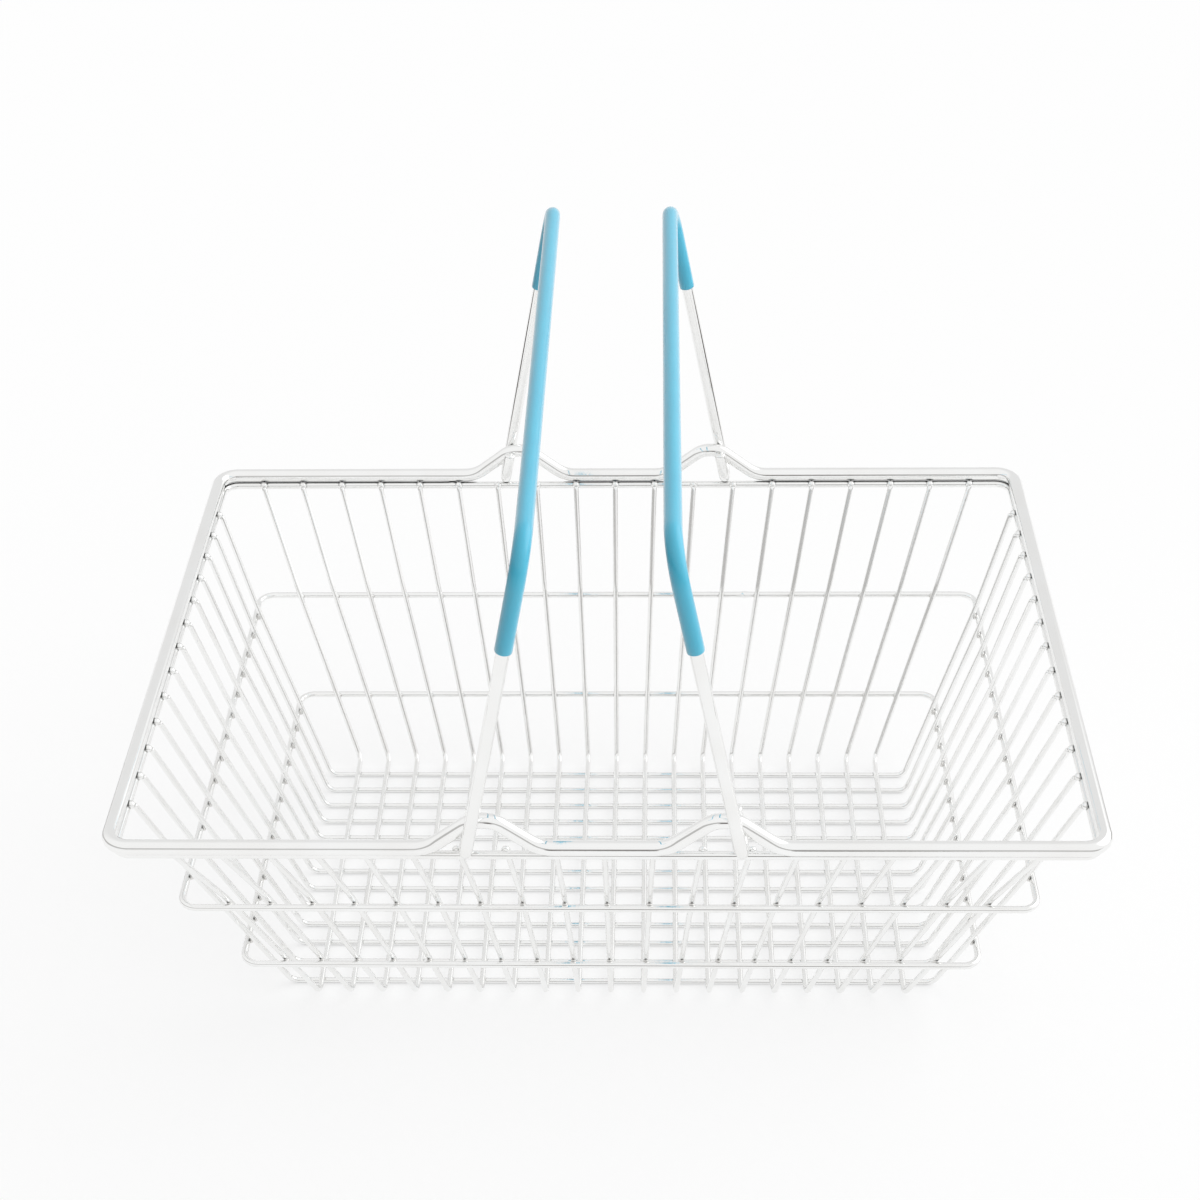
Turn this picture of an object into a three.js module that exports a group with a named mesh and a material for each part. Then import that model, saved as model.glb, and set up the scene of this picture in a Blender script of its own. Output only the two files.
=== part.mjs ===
// Small wire shopping basket with two swinging handles.
// Millimetres, +Z up, +X along the length, the front long side at -Y.
// The origin is on the table, under the middle of the basket.

import * as THREE from 'three';

// Rim, measured over the outside of its wire, and its height above the table
const rimLength = 226.4;
const rimWidth = 163.6;
const rimHeight = 78.2;
const rimCornerRadius = 5;

// Floor, between the points where the straight wall lines would meet it
const floorLength = 164;
const floorWidth = 95;
const floorBendRadius = 3;

// Wire diameters
const rimWire = 3.6;
const bandWire = 2;
const hoopWire = 1.7;
const meshWire = 1.4;
const handleWire = 3;

// Mesh: wires across the basket and wires along it, fanning out towards the rim
const crossCount = 19;
const crossToBend = 5.8;
const crossToCorner = 11.5;
const lengthCount = 13;
const lengthToBend = 3.5;
const lengthToCorner = 16.8;
const meshTopRise = 0.5;

// Waist just over the upper hoop, where opposite walls are this far apart. Above it the long walls
// lean further out and the short ones stand a little steeper.
const waistLength = 201;
const waistWidth = 129.8;
const waistRise = 3;
const waistBendRadius = 25;

// Hoops round the outside of the walls, and the band that the mesh ends on
const lowerHoopHeight = 19.4;
const upperHoopHeight = 47.1;
const hoopCornerRadius = 4;
const bandInset = 0.9;

// Humps in the rim's long sides that the handles hook over
const humpCentre = 26.8;
const humpRise = 7.9;
const humpBase = 25;
const humpCrest = 5;
const humpFootRadius = 9;
const humpCrestRadius = 6;

// Handles: bent from one wire each, with a hook at each end and a grip sleeve
const handleLength = 82.5;
const handleCornerRadius = 9;
const handleLean = 10.9;
const hookOffset = 4;
const hookTipLength = 9;
const sleeveDiameter = 3.9;
const sleeveDrop = 25;

// Clearances: at a weld, at the loose hooks and inside the sleeve
const weldGap = 0.12;
const hookClearance = 0.3;
const hookSeat = 0.25;
const sleeveClearance = 0.1;

// Facets
const wireSides = 8;
const stoutSides = 10;
const bendStep = THREE.MathUtils.degToRad(18);
const tightBendStep = THREE.MathUtils.degToRad(23);
const turnTolerance = 1e-6;
const shortestRun = 1e-3;

const chrome = { color: 0xd7dadd, metalness: 1, roughness: 0.16 };
const bluePlastic = { color: 0x6cc2de, metalness: 0, roughness: 0.5 };

// A regular polygon is drawn so that its area equals the round wire's.
function cornerRadius(diameter, sides) {
  const step = (2 * Math.PI) / sides;
  return (diameter / 2) * Math.sqrt(step / Math.sin(step));
}

function flatRadius(diameter, sides) {
  return cornerRadius(diameter, sides) * Math.cos(Math.PI / sides);
}

function polygon(radius, sides) {
  const points = [];
  for (let i = 0; i < sides; i += 1) {
    const angle = ((i + 0.5) * 2 * Math.PI) / sides;
    points.push(new THREE.Vector2(radius * Math.cos(angle), radius * Math.sin(angle)));
  }
  return points;
}

function wireSection(diameter, sides) {
  return new THREE.Shape(polygon(cornerRadius(diameter, sides), sides));
}

function sleeveSection(outside, bore, sides) {
  const section = new THREE.Shape(polygon(cornerRadius(outside, sides), sides));
  section.holes.push(new THREE.Path(polygon(cornerRadius(bore, sides), sides)));
  return section;
}

// A bent wire's centreline: straight runs between corners, each corner rounded by its own bend.
// The section keeps one face towards the side vector, so that the wire doesn't twist.
class WireRoute extends THREE.Curve {
  constructor(corners, side, { closed = false, step = bendStep } = {}) {
    super();
    this.side = side;
    this.points = [];
    this.directions = [];
    const last = corners.length - 1;
    if (!closed) {
      this.addStation(corners[0].at, this.heading(corners[0], corners[1]));
    }
    for (let i = closed ? 0 : 1; i < (closed ? corners.length : last); i += 1) {
      const before = corners[(i + last) % corners.length];
      const after = corners[(i + 1) % corners.length];
      this.addBend(corners[i], this.heading(before, corners[i]), this.heading(corners[i], after), step);
    }
    if (closed) {
      this.addStation(this.points[0], this.directions[0]);
    } else {
      this.addStation(corners[last].at, this.heading(corners[last - 1], corners[last]));
    }
  }

  heading(from, to) {
    return to.at.clone().sub(from.at).normalize();
  }

  addStation(point, direction) {
    this.points.push(point.clone());
    this.directions.push(direction.clone());
  }

  addBend(corner, arriving, leaving, step) {
    const turn = arriving.angleTo(leaving);
    const radius = corner.radius;
    const inward = leaving.clone().addScaledVector(arriving, -leaving.dot(arriving)).normalize();
    const centre = corner.at.clone();
    centre.addScaledVector(arriving, -radius * Math.tan(turn / 2)).addScaledVector(inward, radius);
    const pieces = Math.ceil(turn / step - turnTolerance);
    for (let i = 0; i <= pieces; i += 1) {
      const angle = (turn * i) / pieces;
      const point = centre.clone().addScaledVector(inward, -radius * Math.cos(angle));
      point.addScaledVector(arriving, radius * Math.sin(angle));
      const direction = arriving.clone().multiplyScalar(Math.cos(angle));
      direction.addScaledVector(inward, Math.sin(angle));
      const previous = this.points[this.points.length - 1];
      if (!previous || previous.distanceTo(point) > shortestRun) {
        this.addStation(point, direction);
      }
    }
  }

  get steps() {
    return this.points.length - 1;
  }

  getSpacedPoints() {
    return this.points;
  }

  computeFrenetFrames() {
    const normals = this.directions.map((direction) =>
      this.side.clone().addScaledVector(direction, -this.side.dot(direction)).normalize());
    const binormals = this.directions.map((direction, i) => direction.clone().cross(normals[i]));
    return { tangents: this.directions, normals, binormals };
  }
}

function corner(x, y, z, radius = 0) {
  return { at: new THREE.Vector3(x, y, z), radius };
}

function sweep(section, route) {
  return new THREE.ExtrudeGeometry(section, { steps: route.steps, extrudePath: route });
}

// A hoop's two ends are butt-welded: only the sides of the sweep are kept, so the ends run together.
function sweepHoop(section, route) {
  const swept = sweep(section, route);
  const sides = swept.groups[1];
  const positions = swept.getAttribute('position').array;
  const hoop = new THREE.BufferGeometry();
  const kept = positions.slice(sides.start * 3, (sides.start + sides.count) * 3);
  hoop.setAttribute('position', new THREE.BufferAttribute(kept, 3));
  hoop.computeVertexNormals();
  return hoop;
}

function piece(name, geometry, finish) {
  const mesh = new THREE.Mesh(geometry, new THREE.MeshStandardMaterial(finish));
  mesh.name = name;
  return mesh;
}

function numbered(name, index) {
  return `${name}_${String(index + 1).padStart(2, '0')}`;
}

// Seats: the lengthwise wires lie on the table, the crosswise wires lie on them,
// and the band is welded under the rim, a little inside it.
const rimHalf = new THREE.Vector2(rimLength - rimWire, rimWidth - rimWire).multiplyScalar(0.5);
const bandHalf = rimHalf.clone().subScalar(bandInset);
const bandToRim = (bandWire + rimWire) / 2 + weldGap;
const bandHeight = rimHeight - Math.sqrt(bandToRim ** 2 - bandInset ** 2);
const lengthFloorHeight = flatRadius(meshWire, wireSides);
const crossFloorHeight = lengthFloorHeight + meshWire + weldGap;

// A wall's profile starts at the floor bend, bends again at the waist, and ends just inside the band.
const meshTop = bandHeight + meshTopRise;

function makeWall(bends, bandHalfWidth) {
  const floor = bends[0];
  const foot = bends[bends.length - 1];
  const run = bandHalfWidth - foot.half;
  const rise = bandHeight - foot.height;
  const seat = (bandWire + meshWire) / 2 + weldGap;
  const topLean = Math.atan2(run, rise) - Math.asin(seat / Math.hypot(run, rise));
  const topHalf = foot.half + (meshTop - foot.height) * Math.tan(topLean);
  const profile = [...bends, { half: topHalf, height: meshTop, radius: 0 }];
  const lean = Math.atan2(profile[1].half - floor.half, profile[1].height - floor.height);
  const hoopSeat = ((hoopWire + meshWire) / 2 + weldGap) / Math.cos(lean);
  return {
    floor,
    profile,
    hoopHalfAt: (height) => floor.half + (height - floor.height) * Math.tan(lean) + hoopSeat,
    bendRun: floorBendRadius * Math.tan((Math.PI / 2 - lean) / 2),
  };
}

const waistHeight = upperHoopHeight + waistRise;
const longWall = makeWall([
  { half: floorWidth / 2, height: crossFloorHeight, radius: floorBendRadius },
  { half: waistWidth / 2, height: waistHeight, radius: waistBendRadius },
], bandHalf.y);
const shortWall = makeWall([
  { half: floorLength / 2, height: lengthFloorHeight, radius: floorBendRadius },
  { half: waistLength / 2, height: waistHeight, radius: waistBendRadius },
], bandHalf.x);

// Each mesh wire is one flat U. Its plane tips outwards, so the wires fan from floor to band.
function makeMeshWire(wall, floorPlace, bandPlace, toCorner) {
  const fan = (bandPlace - floorPlace) / (bandHeight - wall.floor.height);
  const onWall = ({ half, height, radius }, sign) =>
    toCorner(floorPlace + fan * (height - wall.floor.height), sign * half, height, radius);
  const rising = wall.profile.map((bend) => onWall(bend, 1));
  const falling = wall.profile.map((bend) => onWall(bend, -1)).reverse();
  const floorRun = rising[0].at.clone().sub(falling[falling.length - 1].at);
  const side = falling[0].at.clone().sub(rising[0].at).cross(floorRun).normalize();
  return sweep(wireSection(meshWire, wireSides), new WireRoute([...falling, ...rising], side));
}

function spread(index, count, half) {
  return -half + (2 * half * index) / (count - 1);
}

function addMesh(basket) {
  const crossFloorHalf = floorLength / 2 - shortWall.bendRun - crossToBend;
  const crossBandHalf = bandHalf.x - crossToCorner;
  for (let i = 0; i < crossCount; i += 1) {
    const wire = makeMeshWire(
      longWall,
      spread(i, crossCount, crossFloorHalf),
      spread(i, crossCount, crossBandHalf),
      corner,
    );
    basket.add(piece(numbered('cross_wire', i), wire, chrome));
  }
  const lengthFloorHalf = floorWidth / 2 - longWall.bendRun - lengthToBend;
  const lengthBandHalf = bandHalf.y - lengthToCorner;
  for (let i = 0; i < lengthCount; i += 1) {
    const wire = makeMeshWire(
      shortWall,
      spread(i, lengthCount, lengthFloorHalf),
      spread(i, lengthCount, lengthBandHalf),
      (place, half, height, radius) => corner(half, place, height, radius),
    );
    basket.add(piece(numbered('length_wire', i), wire, chrome));
  }
}

// A plain hoop is a rounded rectangle, butt-welded into a ring.
const up = new THREE.Vector3(0, 0, 1);

function makeHoop(halfX, halfY, height, radius, diameter) {
  const route = [
    corner(halfX, -halfY, height, radius),
    corner(halfX, halfY, height, radius),
    corner(-halfX, halfY, height, radius),
    corner(-halfX, -halfY, height, radius),
  ];
  return sweepHoop(wireSection(diameter, wireSides), new WireRoute(route, up, { closed: true }));
}

function addHoops(basket) {
  const heights = { lower_hoop: lowerHoopHeight, upper_hoop: upperHoopHeight };
  for (const [name, height] of Object.entries(heights)) {
    const halfX = shortWall.hoopHalfAt(height);
    const halfY = longWall.hoopHalfAt(height);
    basket.add(piece(name, makeHoop(halfX, halfY, height, hoopCornerRadius, hoopWire), chrome));
  }
  const band = makeHoop(bandHalf.x, bandHalf.y, bandHeight, rimCornerRadius - bandInset, bandWire);
  basket.add(piece('top_band', band, chrome));
}

// The rim is the stoutest hoop. Each long side rises in two humps.
function humpCorners(centre, halfY, direction) {
  const crestHeight = rimHeight + humpRise;
  return [
    corner(centre - (direction * humpBase) / 2, halfY, rimHeight, humpFootRadius),
    corner(centre - (direction * humpCrest) / 2, halfY, crestHeight, humpCrestRadius),
    corner(centre + (direction * humpCrest) / 2, halfY, crestHeight, humpCrestRadius),
    corner(centre + (direction * humpBase) / 2, halfY, rimHeight, humpFootRadius),
  ];
}

function addRim(basket) {
  const front = -rimHalf.y;
  const back = rimHalf.y;
  const route = [
    ...humpCorners(-humpCentre, front, 1),
    ...humpCorners(humpCentre, front, 1),
    corner(rimHalf.x, front, rimHeight, rimCornerRadius),
    corner(rimHalf.x, back, rimHeight, rimCornerRadius),
    ...humpCorners(humpCentre, back, -1),
    ...humpCorners(-humpCentre, back, -1),
    corner(-rimHalf.x, back, rimHeight, rimCornerRadius),
    corner(-rimHalf.x, front, rimHeight, rimCornerRadius),
  ];
  const rim = sweepHoop(wireSection(rimWire, stoutSides), new WireRoute(route, up, { closed: true }));
  basket.add(piece('rim_wire', rim, chrome));
}

// A handle is flat: a leg down the outside of each long side, a hook under the hump and a tip inside.
// It turns about the bottoms of its hooks, which sit on the band.
const hookRadius = (rimWire + handleWire) / 2 + hookClearance;
const hookOutside = rimHalf.y + hookRadius;
const hookInside = rimHalf.y - hookRadius;
const hingeX = humpCentre + hookOffset;
const hingeHeight = bandHeight + (bandWire + handleWire) / 2 + hookSeat;

function makeHandle(sideName, sign) {
  const handle = new THREE.Group();
  handle.position.set(sign * hingeX, 0, hingeHeight);
  handle.rotation.y = -sign * THREE.MathUtils.degToRad(handleLean);
  const acrossHandle = new THREE.Vector3(1, 0, 0);
  const wireRoute = [
    corner(0, -hookInside, hookTipLength),
    corner(0, -hookInside, 0, hookRadius),
    corner(0, -hookOutside, 0, hookRadius),
    corner(0, -hookOutside, handleLength, handleCornerRadius),
    corner(0, hookOutside, handleLength, handleCornerRadius),
    corner(0, hookOutside, 0, hookRadius),
    corner(0, hookInside, 0, hookRadius),
    corner(0, hookInside, hookTipLength),
  ];
  const wire = new WireRoute(wireRoute, acrossHandle, { step: tightBendStep });
  handle.add(piece(`${sideName}_handle`, sweep(wireSection(handleWire, stoutSides), wire), chrome));
  const sleeveEnd = handleLength - sleeveDrop;
  const sleeveRoute = [
    corner(0, -hookOutside, sleeveEnd),
    corner(0, -hookOutside, handleLength, handleCornerRadius),
    corner(0, hookOutside, handleLength, handleCornerRadius),
    corner(0, hookOutside, sleeveEnd),
  ];
  const bore = handleWire + 2 * sleeveClearance;
  const section = sleeveSection(sleeveDiameter, bore, stoutSides);
  const sleeve = new WireRoute(sleeveRoute, acrossHandle, { step: tightBendStep });
  handle.add(piece(`${sideName}_grip_sleeve`, sweep(section, sleeve), bluePlastic));
  return handle;
}

const basket = new THREE.Group();
addMesh(basket);
addHoops(basket);
addRim(basket);
basket.add(makeHandle('left', -1));
basket.add(makeHandle('right', 1));

export default basket;
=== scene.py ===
# Small chrome wire shopping basket with two swinging handles in blue grip sleeves.
# Lengths are in millimetres until a mesh is made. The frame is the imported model's, in metres.

import math

import bmesh
import bpy
from mathutils import Matrix, Vector


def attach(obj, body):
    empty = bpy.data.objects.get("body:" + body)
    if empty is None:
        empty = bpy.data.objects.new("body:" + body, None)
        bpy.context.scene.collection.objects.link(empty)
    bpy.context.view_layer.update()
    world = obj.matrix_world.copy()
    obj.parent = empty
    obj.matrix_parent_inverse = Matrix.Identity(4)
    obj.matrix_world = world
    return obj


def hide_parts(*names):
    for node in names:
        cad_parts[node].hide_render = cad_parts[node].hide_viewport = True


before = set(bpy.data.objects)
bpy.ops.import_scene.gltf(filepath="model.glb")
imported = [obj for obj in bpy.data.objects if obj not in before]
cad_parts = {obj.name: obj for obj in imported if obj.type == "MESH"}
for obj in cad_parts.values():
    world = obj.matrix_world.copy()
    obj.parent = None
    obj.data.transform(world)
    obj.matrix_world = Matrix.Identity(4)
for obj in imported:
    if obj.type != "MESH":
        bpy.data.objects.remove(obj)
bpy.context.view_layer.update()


# Camera
# It stands a little right of the middle and looks down over the front rim, as the photograph does.
# Its lens and place, in metres, come from the wire crossings, for a square picture.

lens, sensor_width = 66.78, 36
camera_place = (0.01249, -0.45677, 0.40327)
heading, tilt, roll = (math.radians(angle) for angle in (1.866, 55.59, -1.117))
camera = bpy.data.objects.new("camera", bpy.data.cameras.new("camera"))
camera.data.sensor_fit = "HORIZONTAL"
camera.data.sensor_width = sensor_width
camera.data.lens = lens
camera.matrix_world = (
    Matrix.Translation(camera_place)
    @ Matrix.Rotation(heading, 4, "Z")
    @ Matrix.Rotation(tilt, 4, "X")
    @ Matrix.Rotation(roll, 4, "Z")
)
bpy.context.scene.collection.objects.link(camera)
bpy.context.scene.camera = camera


# Lengthwise wires
# Thirteen drawn steel wires, each bent into one flat U: up the left wall, along the floor and up
# the right wall. The basket stands on them. The whole basket is welded first and then chrome plated.

mm_per_metre = 1000
mesh_wire, band_wire, rim_wire = 1.4, 2, 3.6
weld_gap = 0.12
rim_length, rim_width, rim_height = 226.4, 163.6, 78.2
rim_half_x, rim_half_y = (rim_length - rim_wire) / 2, (rim_width - rim_wire) / 2
band_inset = 0.9
band_half_x, band_half_y = rim_half_x - band_inset, rim_half_y - band_inset
band_height = rim_height - math.sqrt(((band_wire + rim_wire) / 2 + weld_gap) ** 2 - band_inset ** 2)
mesh_rise = 0.5
mesh_top = band_height + mesh_rise
waist_height, waist_bend = 50.1, 25
floor_bend = 3
bend_step = math.radians(6)
mesh_facets, mesh_end_rounding = 12, 0.35
length_count = 13
length_floor = mesh_wire / 2
length_floor_half, length_band_half = 41.9, 62.3
short_floor_half, short_waist_half = 82, 100.5


def srgb(code):
    """A hex colour as the linear colour that a shader takes."""
    parts = [int(code[i:i + 2], 16) / 255 for i in (1, 3, 5)]
    return [p / 12.92 if p <= 0.04045 else ((p + 0.055) / 1.055) ** 2.4 for p in parts] + [1]


def set_inputs(tree, node, inputs):
    """Sets a node's inputs, or links them where another node's output is given."""
    for name, value in inputs.items():
        if isinstance(value, bpy.types.NodeSocket):
            tree.links.new(value, node.inputs[name])
        else:
            node.inputs[name].default_value = value


def add_node(tree, kind, settings=None, inputs=None):
    """Adds a node with its settings and links."""
    node = tree.nodes.new(kind)
    for name, value in (settings or {}).items():
        setattr(node, name, value)
    set_inputs(tree, node, inputs or {})
    return node


def start_material(name):
    """A new material, with its node tree and its main shader."""
    material = bpy.data.materials.new(name)
    material.use_nodes = True
    return material, material.node_tree, material.node_tree.nodes["Principled BSDF"]


def per_metre(millimetres):
    """The texture scale that repeats a pattern at this size."""
    return mm_per_metre / millimetres


# Bright chrome over nickel on drawn wire: a mirror with a faint ripple left by the polish, and
# patches a few wires long where the plating is thinner, duller and a little warmer. In the crevices
# where two wires meet, painted shade darkens the plating's colour, as far as the nearby wire hides them.
plating_patch, polish_ripple, ripple_depth, crevice_reach = 14, 1.1, 0.1, 0.9
chrome_plated_wire, tree, shader = start_material("chrome_plated_wire")
place = add_node(tree, "ShaderNodeTexCoord").outputs["Object"]
patches = add_node(
    tree, "ShaderNodeTexNoise", None, {"Vector": place, "Scale": per_metre(plating_patch), "Detail": 3}
)
plating = add_node(
    tree,
    "ShaderNodeMix",
    {"data_type": "RGBA"},
    {"Factor": patches.outputs["Fac"], "A": srgb("#f9fafa"), "B": srgb("#f0efed")},
)
haze = add_node(
    tree,
    "ShaderNodeMapRange",
    None,
    {"Value": patches.outputs["Fac"], "From Min": 0.3, "From Max": 0.7, "To Min": 0.05, "To Max": 0.12},
)
ripple = add_node(
    tree, "ShaderNodeTexNoise", None, {"Vector": place, "Scale": per_metre(polish_ripple), "Detail": 2}
)
ripple_bump = add_node(
    tree,
    "ShaderNodeBump",
    None,
    {"Strength": 0.08, "Distance": ripple_depth / mm_per_metre, "Height": ripple.outputs["Fac"]},
)
# Painted shade: the plating's colour is darkened by how much nearby wire hides each spot.
crevice = add_node(
    tree, "ShaderNodeAmbientOcclusion", {"samples": 8}, {"Distance": crevice_reach / mm_per_metre}
)
painted_crevice_shade = add_node(
    tree,
    "ShaderNodeMapRange",
    None,
    {"Value": crevice.outputs["AO"], "From Min": 0.25, "From Max": 0.75, "To Min": 0.2, "To Max": 1},
)
plating_with_painted_shade = add_node(
    tree,
    "ShaderNodeMix",
    {"data_type": "RGBA", "blend_type": "MULTIPLY"},
    {"Factor": 1, "A": plating.outputs["Result"], "B": painted_crevice_shade.outputs["Result"]},
)
set_inputs(
    tree,
    shader,
    {
        "Base Color": plating_with_painted_shade.outputs["Result"],
        "Roughness": haze.outputs["Result"],
        "Normal": ripple_bump.outputs["Normal"],
        "Metallic": 1,
    },
)


def wall_profile(floor_half, floor_height, waist_half, band_half):
    """Half widths, heights and bends of a wall's wires: at the floor, at the waist and inside the band."""
    run, rise = band_half - waist_half, band_height - waist_height
    seat = (band_wire + mesh_wire) / 2 + weld_gap
    lean = math.atan2(run, rise) - math.asin(seat / math.hypot(run, rise))
    top_half = waist_half + (mesh_top - waist_height) * math.tan(lean)
    return [
        (floor_half, floor_height, floor_bend),
        (waist_half, waist_height, waist_bend),
        (top_half, mesh_top, 0),
    ]


def bend_route(corners, closed=False):
    """Points and headings along a wire that runs straight between corners and bends at each one."""
    points = [Vector(corner[:3]) for corner in corners]
    count = len(points)
    stations = []
    if not closed:
        stations.append((points[0], (points[1] - points[0]).normalized()))
    for i in range(count) if closed else range(1, count - 1):
        radius = corners[i][3]
        arriving = (points[i] - points[i - 1]).normalized()
        leaving = (points[(i + 1) % count] - points[i]).normalized()
        turn = arriving.angle(leaving)
        inward = (leaving - arriving * leaving.dot(arriving)).normalized()
        centre = points[i] - arriving * (radius * math.tan(turn / 2)) + inward * radius
        pieces = max(2, math.ceil(turn / bend_step))
        for k in range(pieces + 1):
            angle = turn * k / pieces
            point = centre - inward * (radius * math.cos(angle)) + arriving * (radius * math.sin(angle))
            stations.append((point, arriving * math.cos(angle) + inward * math.sin(angle)))
    if not closed:
        stations.append((points[-1], (points[-1] - points[-2]).normalized()))
    return stations


def rounded_ends(stations, radius, rounding):
    """The same wire as rings, its two cut ends rounded over."""
    (start, start_heading), (end, end_heading) = stations[0], stations[-1]
    steps = [math.radians(angle) for angle in (0, 30, 60, 90)]
    over = [(rounding * (1 - math.sin(a)), radius - rounding * (1 - math.cos(a))) for a in steps]
    head = [(start + start_heading * back, start_heading, r) for back, r in reversed(over)]
    tail = [(end - end_heading * back, end_heading, r) for back, r in over]
    return head + [(point, heading, radius) for point, heading in stations[1:-1]] + tail


def finish_mesh(name, shape):
    """A smooth shaded object from the shape, in the scene."""
    bmesh.ops.recalc_face_normals(shape, faces=shape.faces)
    mesh = bpy.data.meshes.new(name)
    shape.to_mesh(mesh)
    shape.free()
    mesh.shade_smooth()
    made = bpy.data.objects.new(name, mesh)
    bpy.context.scene.collection.objects.link(made)
    return made


def hold_straights(rings, closed):
    """Adds a ring close to both ends of each run longer than two diameters, to keep its shading straight."""
    held = []
    for one, two in zip(rings, rings[1:] + rings[:1] if closed else rings[1:]):
        held.append(one)
        (start, heading, radius), (end, _, end_radius) = one, two
        run = (end - start).length
        if radius == end_radius and run > 4 * radius:
            held += [(start.lerp(end, part), heading, radius) for part in (radius / run, 1 - radius / run)]
    return held if closed else held + rings[-1:]


def skin_rings(name, rings, side, facets, closed=False):
    """A round wire: one ring of points at each station, joined by faces, with the ends filled."""
    shape = bmesh.new()
    loops = []
    for point, heading, radius in hold_straights(rings, closed):
        across = (side - heading * side.dot(heading)).normalized()
        other = heading.cross(across)
        turns = [2 * math.pi * k / facets for k in range(facets)]
        loops.append([
            shape.verts.new((point + (across * math.cos(a) + other * math.sin(a)) * radius) / mm_per_metre)
            for a in turns
        ])
    for one, two in zip(loops, loops[1:] + loops[:1] if closed else loops[1:]):
        for k in range(facets):
            shape.faces.new((one[k], one[(k + 1) % facets], two[(k + 1) % facets], two[k]))
    if not closed:
        shape.faces.new(reversed(loops[0]))
        shape.faces.new(loops[-1])
    return finish_mesh(name, shape)


def dress(piece, material, body, node=None):
    """Gives a piece its material and body, and hides the imported part that it stands for."""
    piece.data.materials.append(material)
    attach(piece, body)
    if node:
        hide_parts(node)


def spread(index, count, half):
    """Where one of a row of evenly spaced wires is, from one side of the row to the other."""
    return -half + 2 * half * index / (count - 1)


def lean_out(floor_place, band_place, floor_height, height):
    """Where a fanned wire is at this height."""
    return floor_place + (band_place - floor_place) * (height - floor_height) / (band_height - floor_height)


def draw_mesh_wire(node, corners):
    """One mesh wire, its flat U bent round the floor."""
    start, foot, far = Vector(corners[0][:3]), Vector(corners[2][:3]), Vector(corners[-1][:3])
    side = (foot - start).cross(far - start).normalized()
    rings = rounded_ends(bend_route(corners), mesh_wire / 2, mesh_end_rounding)
    wire = skin_rings(node + "_drawn", rings, side, mesh_facets)
    dress(wire, chrome_plated_wire, "basket", node)


short_wall = wall_profile(short_floor_half, length_floor, short_waist_half, band_half_x)
for index in range(length_count):
    on_floor = spread(index, length_count, length_floor_half)
    on_band = spread(index, length_count, length_band_half)
    right = [(x, lean_out(on_floor, on_band, length_floor, z), z, bend) for x, z, bend in short_wall]
    left = [(-x, y, z, bend) for x, y, z, bend in reversed(right)]
    draw_mesh_wire(f"length_wire_{index + 1:02d}", left + right)


# Crosswise wires
# Nineteen wires of the same gauge, laid on the lengthwise ones: up the front wall, across the floor
# and up the back wall. Above the upper hoop the long walls lean further out.

cross_count = 19
cross_floor = length_floor + mesh_wire + weld_gap
cross_floor_half, cross_band_half = 74.12, 99
long_floor_half, long_waist_half = 47.5, 64.9

long_wall = wall_profile(long_floor_half, cross_floor, long_waist_half, band_half_y)
for index in range(cross_count):
    on_floor = spread(index, cross_count, cross_floor_half)
    on_band = spread(index, cross_count, cross_band_half)
    back = [(lean_out(on_floor, on_band, cross_floor, z), y, z, bend) for y, z, bend in long_wall]
    front = [(x, -y, z, bend) for x, y, z, bend in reversed(back)]
    draw_mesh_wire(f"cross_wire_{index + 1:02d}", front + back)


# Hoops
# Two plain hoops of slightly stouter wire, slipped over the outside of the walls and welded to each
# upright. Each is bent from one length and butt-welded, which leaves a small collar at the back.

hoop_wire, hoop_bend, hoop_facets = 1.7, 4, 14
hoop_heights = {"lower_hoop": 19.4, "upper_hoop": 47.1}
hoop_joint, hoop_collar = 36.5, 0.14
collar_along = [-3, -1.2, -0.6, -0.2, 0.2, 0.6, 1.2, 3]
collar_swell = [0, 0.15, 0.6, 1, 1, 0.6, 0.15, 0]


def wall_half(profile, height):
    """Half the distance between opposite walls, at this height."""
    (low, low_height, _), (high, high_height, _) = profile[:2] if height < waist_height else profile[1:]
    return low + (high - low) * (height - low_height) / (high_height - low_height)


def hoop_half(profile, height):
    """Half the distance between a hoop's opposite sides, where it lies against the wires."""
    (foot, foot_height, _), (waist, _, _) = profile[:2]
    lean = math.atan2(waist - foot, waist_height - foot_height)
    return wall_half(profile, height) + ((hoop_wire + mesh_wire) / 2 + weld_gap) / math.cos(lean)


def draw_hoop(node, half_x, half_y, height, bend, diameter, joint_x, collar):
    """A rounded rectangle of wire, with a collar where its two ends were welded together."""
    corners = [(-half_x, half_y), (-half_x, -half_y), (half_x, -half_y), (half_x, half_y)]
    stations = bend_route([(x, y, height, bend) for x, y in corners], closed=True)
    joint = [
        (Vector((joint_x - step, half_y, height)), Vector((-1, 0, 0)), diameter / 2 + collar * part)
        for step, part in zip(collar_along, collar_swell)
    ]
    rings = [(point, way, diameter / 2) for point, way in stations] + joint
    hoop = skin_rings(node + "_drawn", rings, Vector((0, 0, 1)), hoop_facets, closed=True)
    dress(hoop, chrome_plated_wire, "basket", node)


for node, height in hoop_heights.items():
    half_x, half_y = hoop_half(short_wall, height), hoop_half(long_wall, height)
    draw_hoop(node, half_x, half_y, height, hoop_bend, hoop_wire, hoop_joint, hoop_collar)


# Top band
# A stouter hoop that the tops of all the uprights are welded to, on its inside. It is welded under
# the rim, just inside it, and the handles' hooks rest on it.

rim_bend = 5
band_bend = rim_bend - band_inset
band_joint, band_collar = -46, 0.16
draw_hoop(
    "top_band", band_half_x, band_half_y, band_height, band_bend, band_wire, band_joint, band_collar
)


# Welds
# Every crossing is a spot weld: the two wires are pressed together hot, and a little metal is
# squeezed out round the joint before plating. At the band, the wires' ends are pressed into knobs.

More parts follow.
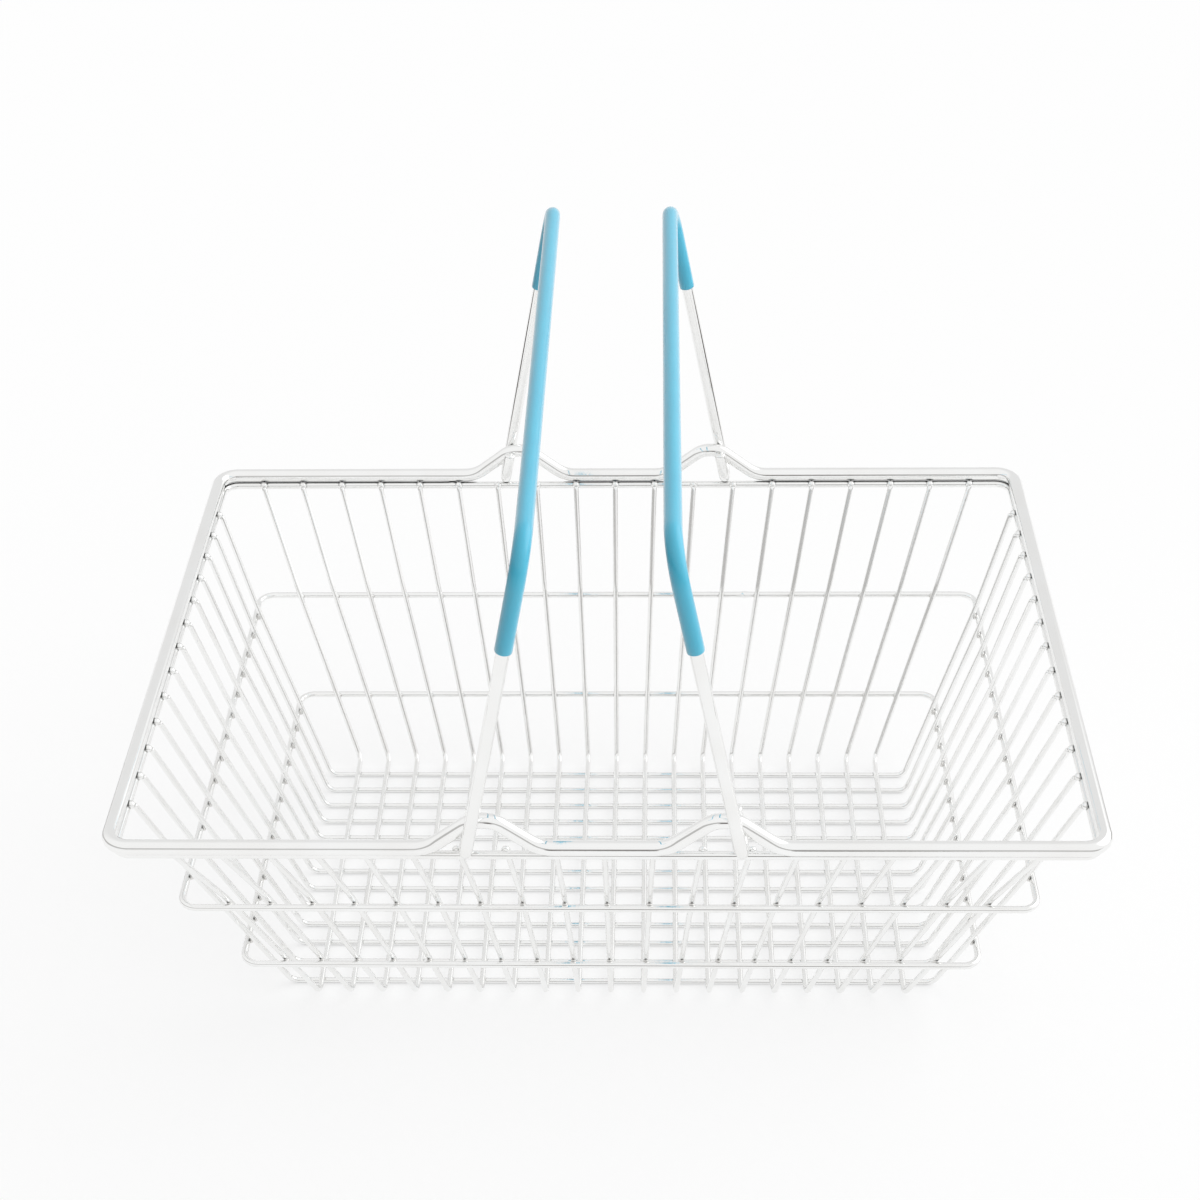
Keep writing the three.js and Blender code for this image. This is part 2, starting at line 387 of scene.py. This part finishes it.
# Half sizes of a bead along the first wire, across it and from wire to wire, its place between the
# two wires, how far a knob stands above the band, and how far a bead is drawn down at its sides.
hoop_weld, floor_weld, band_knob = (0.88, 0.8, 0.57), (0.76, 0.76, 0.55), (1.0, 1.05, 1.1)
weld_seat, knob_seat = 0.5, 0.45
knob_rise = 0.62
bead_droop = 0.12

# Squeezed-out steel under thin plating: grey, pitted and dull beside the bright wire.
weld_pit, pit_depth = 0.9, 0.2
plated_spot_weld, tree, shader = start_material("plated_spot_weld")
place = add_node(tree, "ShaderNodeTexCoord").outputs["Object"]
pits = add_node(
    tree, "ShaderNodeTexNoise", None, {"Vector": place, "Scale": per_metre(weld_pit), "Detail": 4}
)
melted = add_node(
    tree,
    "ShaderNodeMix",
    {"data_type": "RGBA"},
    {"Factor": pits.outputs["Fac"], "A": srgb("#eeedeb"), "B": srgb("#dddbd8")},
)
pit_bump = add_node(
    tree,
    "ShaderNodeBump",
    None,
    {"Strength": 0.4, "Distance": pit_depth / mm_per_metre, "Height": pits.outputs["Fac"]},
)
set_inputs(
    tree,
    shader,
    {
        "Base Color": melted.outputs["Result"],
        "Roughness": 0.36,
        "Normal": pit_bump.outputs["Normal"],
        "Metallic": 1,
    },
)


def add_weld(shape, one_wire, other_wire, along, radii, seat):
    """A flattened bead between two crossing wires, drawn down a little round the first."""
    across = (other_wire - one_wire).normalized()
    length = (along - across * along.dot(across)).normalized()
    width = across.cross(length)
    middle = one_wire.lerp(other_wire, seat)
    turn = Matrix((length, width, across)).transposed().to_4x4()
    size = Matrix.Diagonal([radius / mm_per_metre for radius in radii] + [1])
    move = Matrix.Translation(middle / mm_per_metre)
    bead = bmesh.ops.create_icosphere(shape, subdivisions=2, radius=1, matrix=move @ turn @ size)
    for vert in bead["verts"]:
        off_middle = abs((vert.co * mm_per_metre - middle).dot(width)) / radii[1]
        vert.co -= across * (bead_droop * off_middle * radii[2] / mm_per_metre)


def weld_walls(beads, knobs, count, floor_half, band_half, profile, ring_half, place_at):
    """The welds of one pair of walls, where each upright crosses the hoops and ends on the band."""
    levels = [
        (beads, height, hoop_half(profile, height), hoop_weld, weld_seat)
        for height in hoop_heights.values()
    ]
    levels.append((knobs, band_height + knob_rise, ring_half, band_knob, knob_seat))
    for index in range(count):
        on_floor, on_band = spread(index, count, floor_half), spread(index, count, band_half)
        for shape, height, outside, radii, seat in levels:
            on_wall = lean_out(on_floor, on_band, profile[0][1], height)
            for sign in (-1, 1):
                upright = Vector(place_at(on_wall, sign * wall_half(profile, height), height))
                ring = Vector(place_at(on_wall, sign * outside, height))
                add_weld(shape, upright, ring, Vector((0, 0, 1)), radii, seat)


wall_welds, band_knobs = bmesh.new(), bmesh.new()
weld_walls(
    wall_welds, band_knobs, cross_count, cross_floor_half, cross_band_half, long_wall, band_half_y,
    lambda place, half, height: (place, half, height),
)
weld_walls(
    wall_welds, band_knobs, length_count, length_floor_half, length_band_half, short_wall, band_half_x,
    lambda place, half, height: (half, place, height),
)
dress(finish_mesh("wall_welds", wall_welds), plated_spot_weld, "basket")
dress(finish_mesh("band_knobs", band_knobs), chrome_plated_wire, "basket")

floor_welds = bmesh.new()
for across in range(cross_count):
    for along in range(length_count):
        x, y = spread(across, cross_count, cross_floor_half), spread(along, length_count, length_floor_half)
        under, over = Vector((x, y, length_floor)), Vector((x, y, cross_floor))
        add_weld(floor_welds, under, over, Vector((1, 0, 0)), floor_weld, weld_seat)
dress(finish_mesh("floor_welds", floor_welds), plated_spot_weld, "basket")


# Rim
# One stout wire, welded on top of the band. Each long side rises in two humps, which leave room for
# the handles' hooks between the rim and the band.

stout_facets = 20
hump_centre, hump_rise, hump_base, hump_crest = 26.8, 7.9, 25, 5
hump_foot_bend, hump_crest_bend = 9, 6


def hump(centre, half_y, way):
    """Four corners of one hump, in the order that the wire takes them."""
    crest = rim_height + hump_rise
    return [
        (centre - way * hump_base / 2, half_y, rim_height, hump_foot_bend),
        (centre - way * hump_crest / 2, half_y, crest, hump_crest_bend),
        (centre + way * hump_crest / 2, half_y, crest, hump_crest_bend),
        (centre + way * hump_base / 2, half_y, rim_height, hump_foot_bend),
    ]


rim_route = (
    hump(-hump_centre, -rim_half_y, 1)
    + hump(hump_centre, -rim_half_y, 1)
    + [(rim_half_x, -rim_half_y, rim_height, rim_bend), (rim_half_x, rim_half_y, rim_height, rim_bend)]
    + hump(hump_centre, rim_half_y, -1)
    + hump(-hump_centre, rim_half_y, -1)
    + [(-rim_half_x, rim_half_y, rim_height, rim_bend), (-rim_half_x, -rim_half_y, rim_height, rim_bend)]
)
rim_rings = [(point, way, rim_wire / 2) for point, way in bend_route(rim_route, closed=True)]
rim = skin_rings("rim_wire_drawn", rim_rings, Vector((0, 0, 1)), stout_facets, closed=True)
dress(rim, chrome_plated_wire, "basket", "rim_wire")


# Handles
# Each is one stout wire bent to a U. Both ends are hooked under a hump and come up inside the rim,
# so that the handle can't lift out and swings on the band.

handle_wire, handle_end_rounding = 3, 0.6
handle_length, handle_bend = 82.5, 9
handle_lean = math.radians(10.9)
hook_slack, hook_tip = 0.3, 9
hook_bend = (rim_wire + handle_wire) / 2 + hook_slack
hinge_off_crest, hinge_slack = 4, 0.25
hinge_x = hump_centre + hinge_off_crest
hinge_height = band_height + (band_wire + handle_wire) / 2 + hinge_slack
leg_y, tip_y = rim_half_y + hook_bend, rim_half_y - hook_bend
handle_sides = {"left": -1, "right": 1}


def in_handle(sign, y, up):
    """A point of a handle, given along its leg from the hinge."""
    return (
        sign * (hinge_x - up * math.sin(handle_lean)),
        y,
        hinge_height + up * math.cos(handle_lean),
    )


def bend_handle(sign, points):
    """The stations of a wire or tube in one handle's plane, and the direction across that plane."""
    route = [(*in_handle(sign, y, up), bend) for y, up, bend in points]
    return bend_route(route), Vector((math.cos(handle_lean), 0, sign * math.sin(handle_lean)))


handle_points = [
    (-tip_y, hook_tip, 0),
    (-tip_y, 0, hook_bend),
    (-leg_y, 0, hook_bend),
    (-leg_y, handle_length, handle_bend),
    (leg_y, handle_length, handle_bend),
    (leg_y, 0, hook_bend),
    (tip_y, 0, hook_bend),
    (tip_y, hook_tip, 0),
]
for name, sign in handle_sides.items():
    stations, across = bend_handle(sign, handle_points)
    handle_rings = rounded_ends(stations, handle_wire / 2, handle_end_rounding)
    handle = skin_rings(f"{name}_handle_drawn", handle_rings, across, stout_facets)
    dress(handle, chrome_plated_wire, f"{name}_handle", f"{name}_handle")


# Grip sleeves
# A tube of soft sky blue vinyl pushed over each handle's bar, its two corners and the tops of its
# legs. Its lips are rounded, and its skin has a fine satin grain.

sleeve_diameter, sleeve_bore, sleeve_facets = 3.9, 3.2, 24
sleeve_reach, sleeve_lip = 25, 0.3
sleeve_end = handle_length - sleeve_reach

# Plasticised vinyl, dipped or drawn: satin, a little lighter and duller where hands have rubbed it.
# Its grain is finer than the picture can show, so it is drawn at three times its real size.
rubbed_patch, vinyl_grain, grain_drawn, grain_depth = 9, 0.25, 3, 0.1
satin_blue_vinyl, tree, shader = start_material("satin_blue_vinyl")
place = add_node(tree, "ShaderNodeTexCoord").outputs["Object"]
rubbed = add_node(
    tree, "ShaderNodeTexNoise", None, {"Vector": place, "Scale": per_metre(rubbed_patch), "Detail": 4}
)
tint = add_node(
    tree,
    "ShaderNodeMix",
    {"data_type": "RGBA"},
    {"Factor": rubbed.outputs["Fac"], "A": srgb("#28b0d2"), "B": srgb("#38bcdb")},
)
satin = add_node(
    tree,
    "ShaderNodeMapRange",
    None,
    {"Value": rubbed.outputs["Fac"], "From Min": 0.3, "From Max": 0.7, "To Min": 0.3, "To Max": 0.4},
)
grain = add_node(
    tree,
    "ShaderNodeTexNoise",
    None,
    {"Vector": place, "Scale": per_metre(grain_drawn * vinyl_grain), "Detail": 3},
)
grain_bump = add_node(
    tree,
    "ShaderNodeBump",
    None,
    {"Strength": 0.5, "Distance": grain_depth / mm_per_metre, "Height": grain.outputs["Fac"]},
)
set_inputs(
    tree,
    shader,
    {
        "Base Color": tint.outputs["Result"],
        "Roughness": satin.outputs["Result"],
        "Normal": grain_bump.outputs["Normal"],
        "Coat Weight": 1,
        "Coat Roughness": 0.22,
        "Sheen Weight": 0.2,
    },
)

sleeve_points = [
    (-leg_y, sleeve_end, 0),
    (-leg_y, handle_length, handle_bend),
    (leg_y, handle_length, handle_bend),
    (leg_y, sleeve_end, 0),
]
for name, sign in handle_sides.items():
    stations, across = bend_handle(sign, sleeve_points)
    outside = rounded_ends(stations, sleeve_diameter / 2, sleeve_lip)
    bore = [(point, way, sleeve_bore / 2) for point, way in reversed(stations)]
    sleeve = skin_rings(f"{name}_grip_sleeve_vinyl", outside + bore, across, sleeve_facets, closed=True)
    dress(sleeve, satin_blue_vinyl, f"{name}_handle", f"{name}_grip_sleeve")


# Floor and light
# A sheet of white card in a light tent. The tent has a dim gap across its front and a small dark
# opening for the camera, and these draw the fine grey and dark lines along the chrome wires.

card_length, card_front, card_back = 1600, -420, 900
card = bmesh.new()
card_ends = card_length / 2 / mm_per_metre
card_corners = [(-1, card_front), (1, card_front), (1, card_back), (-1, card_back)]
card.faces.new([card.verts.new((end * card_ends, y / mm_per_metre, 0)) for end, y in card_corners])
floor = finish_mesh("floor", card)

# Matt white card that keeps the basket's shadow. To the eye and in the metal it also glows a little,
# which lifts it to the photograph's white and lights nothing. In the metal alone, a painted reflection:
# a dim patch shows at each side behind the basket, which draws a dark line down the outside of the back
# legs.
card_lift = 0.66
patch_side, patch_back, patch_squeeze = 400, 150, 0.65
patch_core, patch_edge = 60, 130
white_card, tree, shader = start_material("white_card")
set_inputs(tree, shader, {"Base Color": srgb("#fbfbfb"), "Roughness": 0.9, "Specular IOR Level": 0})
rays = add_node(tree, "ShaderNodeLightPath").outputs
seen = add_node(
    tree, "ShaderNodeMath", {"operation": "ADD"}, {0: rays["Is Camera Ray"], 1: rays["Is Glossy Ray"]}
)
seen_or_through = add_node(
    tree, "ShaderNodeMath", {"operation": "ADD"}, {0: seen.outputs["Value"], 1: rays["Is Transmission Ray"]}
)
lift = add_node(
    tree,
    "ShaderNodeMath",
    {"operation": "MULTIPLY", "use_clamp": True},
    {0: seen_or_through.outputs["Value"], 1: card_lift},
)
place = add_node(tree, "ShaderNodeTexCoord").outputs["Object"]
from_back = add_node(
    tree, "ShaderNodeVectorMath", {"operation": "SUBTRACT"}, {0: place, 1: (0, patch_back / mm_per_metre, 0)}
)
either_side = add_node(
    tree, "ShaderNodeVectorMath", {"operation": "ABSOLUTE"}, {0: from_back.outputs["Vector"]}
)
from_patch = add_node(
    tree,
    "ShaderNodeVectorMath",
    {"operation": "MULTIPLY_ADD"},
    {
        0: either_side.outputs["Vector"],
        1: (patch_squeeze, 1, 1),
        2: (-patch_squeeze * patch_side / mm_per_metre, 0, 0),
    },
)
off_patch = add_node(
    tree, "ShaderNodeVectorMath", {"operation": "LENGTH"}, {0: from_patch.outputs["Vector"]}
)
patch = add_node(
    tree,
    "ShaderNodeMapRange",
    {"interpolation_type": "SMOOTHSTEP"},
    {
        "Value": off_patch.outputs["Value"],
        "From Min": patch_edge / mm_per_metre,
        "From Max": patch_core / mm_per_metre,
    },
)
dim = add_node(
    tree,
    "ShaderNodeMath",
    {"operation": "MULTIPLY"},
    {0: patch.outputs["Result"], 1: rays["Is Glossy Ray"]},
)
card_shown = add_node(
    tree,
    "ShaderNodeMix",
    {"data_type": "RGBA"},
    {"Factor": dim.outputs["Value"], "A": srgb("#ffffff"), "B": srgb("#3f3531")},
)
glow = add_node(tree, "ShaderNodeEmission", None, {"Color": card_shown.outputs["Result"], "Strength": 1})
lift_or_dim = add_node(
    tree, "ShaderNodeMath", {"operation": "MAXIMUM"}, {0: lift.outputs["Value"], 1: dim.outputs["Value"]}
)
lifted = add_node(
    tree,
    "ShaderNodeMixShader",
    None,
    {"Fac": lift_or_dim.outputs["Value"], 1: shader.outputs["BSDF"], 2: glow.outputs["Emission"]},
)
set_inputs(tree, tree.nodes["Material Output"], {"Surface": lifted.outputs["Shader"]})
floor.data.materials.append(white_card)

# The tent's cloth lights evenly, more from above and the right, where a soft lamp shines through it.
# In metal it shows as plain white, a little greyer at the back, with the dim gap high across the
# front and falling to the left, and the dark opening straight ahead. Each is a direction and a reach.
bright_way, dome_level = (0.8, 0.15, 0.48), 0.6
lamp_way, lamp_edge, lamp_core, lamp_level = (0.83, 0.32, 0.46), 0.8, 0.95, 0.8
gap_way, gap_fall, gap_core, gap_edge = (0.2, 0.38, 0.9), 0.15, 0.08, 0.2
back_way, back_edge, back_core = (0, 1, 0), 0.2, 0.75
opening_scale, opening_shift, opening_core, opening_edge = (8, 0.8, 8), (-0.2, 0.8, -0.5), 0.5, 1.2
world = bpy.data.worlds.new("light_tent")
bpy.context.scene.world = world
world.use_nodes = True
tree = world.node_tree
way = add_node(tree, "ShaderNodeTexCoord").outputs["Generated"]
rays = add_node(tree, "ShaderNodeLightPath").outputs
brighter = add_node(tree, "ShaderNodeVectorMath", {"operation": "DOT_PRODUCT"}, {0: way, 1: bright_way})
dome = add_node(tree, "ShaderNodeMath", {"operation": "ADD"}, {0: brighter.outputs["Value"], 1: dome_level})
towards_lamp = add_node(tree, "ShaderNodeVectorMath", {"operation": "DOT_PRODUCT"}, {0: way, 1: lamp_way})
lamp = add_node(
    tree,
    "ShaderNodeMapRange",
    {"interpolation_type": "SMOOTHSTEP"},
    {
        "Value": towards_lamp.outputs["Value"],
        "From Min": lamp_edge,
        "From Max": lamp_core,
        "To Max": lamp_level,
    },
)
above_gap = add_node(tree, "ShaderNodeVectorMath", {"operation": "DOT_PRODUCT"}, {0: way, 1: gap_way})
from_gap = add_node(
    tree, "ShaderNodeMath", {"operation": "ADD"}, {0: above_gap.outputs["Value"], 1: gap_fall}
)
off_gap = add_node(tree, "ShaderNodeMath", {"operation": "ABSOLUTE"}, {0: from_gap.outputs["Value"]})
cloth = add_node(
    tree,
    "ShaderNodeMapRange",
    {"interpolation_type": "SMOOTHSTEP"},
    {"Value": off_gap.outputs["Value"], "From Min": gap_core, "From Max": gap_edge},
)
towards_back = add_node(tree, "ShaderNodeVectorMath", {"operation": "DOT_PRODUCT"}, {0: way, 1: back_way})
at_back = add_node(
    tree,
    "ShaderNodeMapRange",
    {"interpolation_type": "SMOOTHSTEP"},
    {"Value": towards_back.outputs["Value"], "From Min": back_edge, "From Max": back_core},
)
wall = add_node(
    tree,
    "ShaderNodeMix",
    {"data_type": "RGBA"},
    {"Factor": at_back.outputs["Result"], "A": srgb("#fcfcfc"), "B": srgb("#ececec")},
)
with_gap = add_node(
    tree,
    "ShaderNodeMix",
    {"data_type": "RGBA"},
    {"Factor": cloth.outputs["Result"], "A": srgb("#bebdbc"), "B": wall.outputs["Result"]},
)
from_opening = add_node(
    tree,
    "ShaderNodeVectorMath",
    {"operation": "MULTIPLY_ADD"},
    {0: way, 1: opening_scale, 2: opening_shift},
)
off_opening = add_node(
    tree, "ShaderNodeVectorMath", {"operation": "LENGTH"}, {0: from_opening.outputs["Vector"]}
)
shut = add_node(
    tree,
    "ShaderNodeMapRange",
    {"interpolation_type": "SMOOTHSTEP"},
    {"Value": off_opening.outputs["Value"], "From Min": opening_core, "From Max": opening_edge},
)
reflected = add_node(
    tree,
    "ShaderNodeMix",
    {"data_type": "RGBA"},
    {"Factor": shut.outputs["Result"], "A": srgb("#4f4744"), "B": with_gap.outputs["Result"]},
)
in_metal = add_node(
    tree,
    "ShaderNodeMix",
    {"data_type": "RGBA"},
    {"Factor": rays["Is Glossy Ray"], "A": dome.outputs["Value"], "B": reflected.outputs["Result"]},
)
with_lamp = add_node(
    tree,
    "ShaderNodeMix",
    {"data_type": "RGBA", "blend_type": "ADD"},
    {"Factor": 1, "A": in_metal.outputs["Result"], "B": lamp.outputs["Result"]},
)
shown = add_node(
    tree,
    "ShaderNodeMix",
    {"data_type": "RGBA"},
    {"Factor": rays["Is Camera Ray"], "A": with_lamp.outputs["Result"], "B": srgb("#fefefe")},
)
set_inputs(tree, tree.nodes["Background"], {"Color": shown.outputs["Result"]})
bpy.context.scene.view_settings.view_transform = "Standard"
